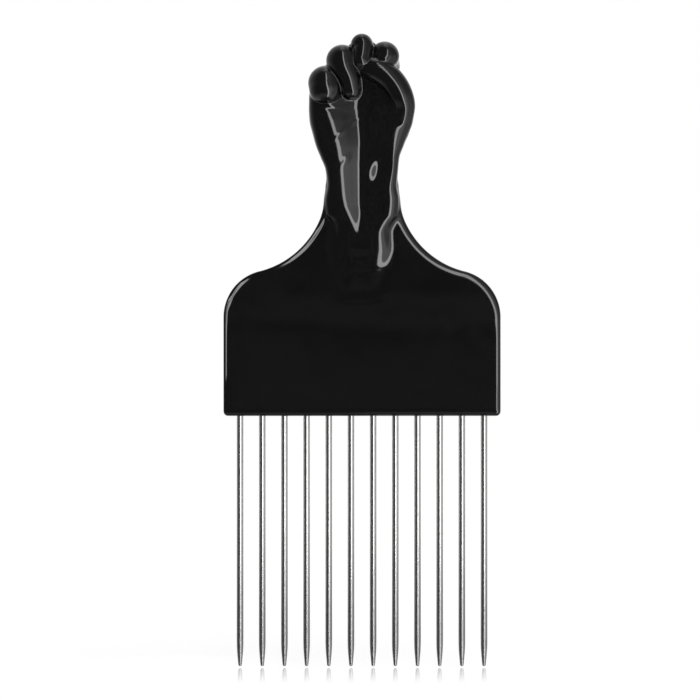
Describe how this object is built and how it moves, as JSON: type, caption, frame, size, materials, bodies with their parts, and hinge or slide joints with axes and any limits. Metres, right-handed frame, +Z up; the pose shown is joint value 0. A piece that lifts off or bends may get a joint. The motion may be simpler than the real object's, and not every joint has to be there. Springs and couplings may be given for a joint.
{
  "type": "afro pick",
  "caption": "Hair pick with a flat plate of long round steel tines and a glossy plastic handle shaped as a raised fist.",
  "frame": {"origin": "middle of the row of tine tips, on the plane that the tips touch", "axes": "+Z up from the tips to the fist, +X along the row of tines to the right as seen from the palm side, +Y through the thickness towards the back of the hand"},
  "size_m": [0.0766, 0.0184, 0.1749],
  "materials": {
    "black_plastic": "high gloss moulded black",
    "polished_steel": "polished wire"
  },
  "bodies": {
    "root": {"handle": "black_plastic", "tine_01": "polished_steel", "tine_02": "polished_steel", "tine_03": "polished_steel", "tine_04": "polished_steel", "tine_05": "polished_steel", "tine_06": "polished_steel", "tine_07": "polished_steel", "tine_08": "polished_steel", "tine_09": "polished_steel", "tine_10": "polished_steel", "tine_11": "polished_steel", "tine_12": "polished_steel"}
  },
  "joints": []
}
